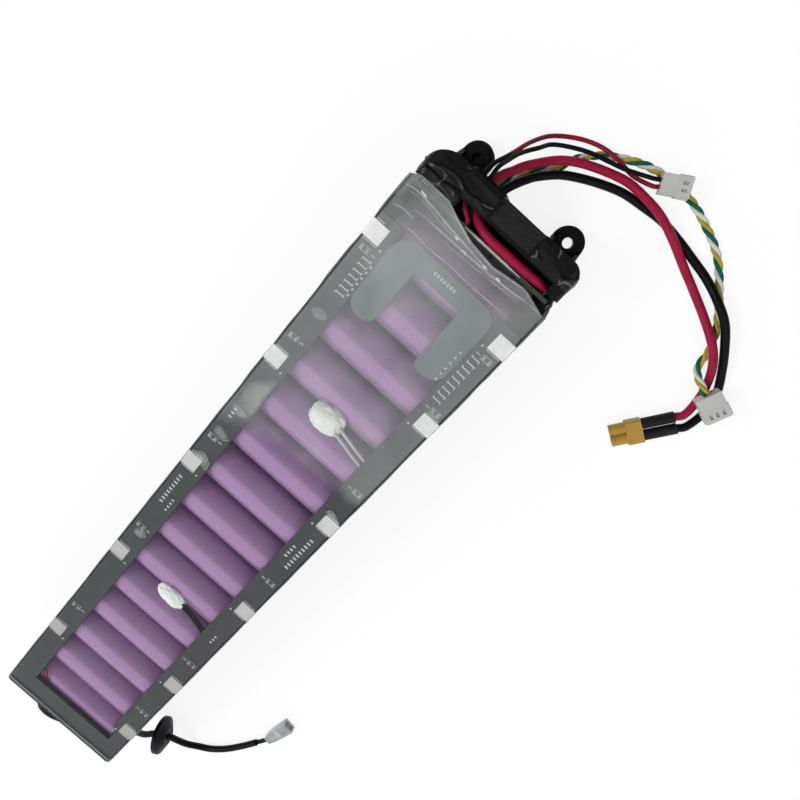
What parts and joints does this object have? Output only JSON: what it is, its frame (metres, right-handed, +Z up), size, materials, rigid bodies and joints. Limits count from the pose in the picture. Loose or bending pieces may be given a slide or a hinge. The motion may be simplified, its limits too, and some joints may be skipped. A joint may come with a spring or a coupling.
{
  "type": "scooter battery pack",
  "caption": "Flat rechargeable battery pack in clear shrink sleeve: two staggered rows of round cells, frame board, black end cap with two fixing ears and free leads with plugs.",
  "frame": {"origin": "under the middle of the pack, on the surface it lies on; the free leads lie at its -Y side and past its +X end", "axes": "+X along the pack towards the end cap and the leads, +Y across the pack away from the plugs, +Z up through the frame board"},
  "size_m": [0.4184, 0.1504, 0.04],
  "materials": {
    "cell_wrap": "shrink wrap on the cells",
    "holder_black": "moulded, matt",
    "nickel": "plain rolled nickel sheet",
    "board_grey": "lacquered circuit board",
    "board_light": "lacquered circuit board",
    "parts_pale": "small fired parts",
    "sheet_grey": "fibre sheet",
    "sheet_dark": "foam and fibre sheet",
    "silicone_white": "set silicone",
    "wire_pale": "thin insulation",
    "wire_black": "smooth insulation",
    "board_green": "lacquered circuit board",
    "package_black": "moulded packages",
    "wire_red": "smooth insulation",
    "cap_black": "moulded, fine grain",
    "rubber_black": "moulded rubber",
    "tape_black": "creased glossy tape",
    "film_clear": "clear shrink film",
    "tube_black": "shrink tube",
    "plug_yellow": "moulded nylon",
    "contact_gold": "plated",
    "plug_white": "moulded nylon",
    "wire_mixed": "three twisted wires",
    "plug_clear": "clear moulded plastic"
  },
  "bodies": {
    "root": {"bank_01": "cell_wrap", "bank_02": "cell_wrap", "bank_03": "cell_wrap", "bank_04": "cell_wrap", "bank_05": "cell_wrap", "bank_06": "cell_wrap", "bank_07": "cell_wrap", "bank_08": "cell_wrap", "bank_09": "cell_wrap", "bank_10": "cell_wrap", "base_sheet": "sheet_grey", "board_strip": "silicone_white", "cable_boot": "rubber_black", "cap_tape": "tape_black", "corner_wires": "wire_black", "data_lead": "wire_mixed", "data_plug": "plug_white", "end_cap": "cap_black", "film_sleeve": "film_clear", "frame_board": "board_grey", "head_board": "board_light", "holder_left": "holder_black", "holder_right": "holder_black", "inner_lead_red": "wire_red", "inner_lead_thin": "wire_red", "link_left_1": "nickel", "link_left_2": "nickel", "link_left_3": "nickel", "link_left_4": "nickel", "link_left_5": "nickel", "link_right_1": "nickel", "link_right_2": "nickel", "link_right_3": "nickel", "link_right_4": "nickel", "link_right_5": "nickel", "link_right_6": "nickel", "mosfets": "package_black", "power_lead_black": "wire_black", "power_lead_red": "wire_red", "power_pins": "contact_gold", "power_plug": "plug_yellow", "power_tubes": "tube_black", "probe_bead_1": "silicone_white", "probe_bead_2": "silicone_white", "probe_wires_1": "wire_pale", "probe_wires_2": "wire_pale", "protection_board": "board_green", "sense_parts": "parts_pale", "side_sheet_left": "sheet_dark", "side_sheet_right": "sheet_dark", "signal_lead_black": "wire_black", "signal_lead_red": "wire_red", "signal_plug": "plug_white", "tail_grommet": "rubber_black", "tail_lead": "wire_black", "tail_plate": "sheet_dark", "tail_plug": "plug_clear", "tail_wires": "wire_black"}
  },
  "joints": []
}
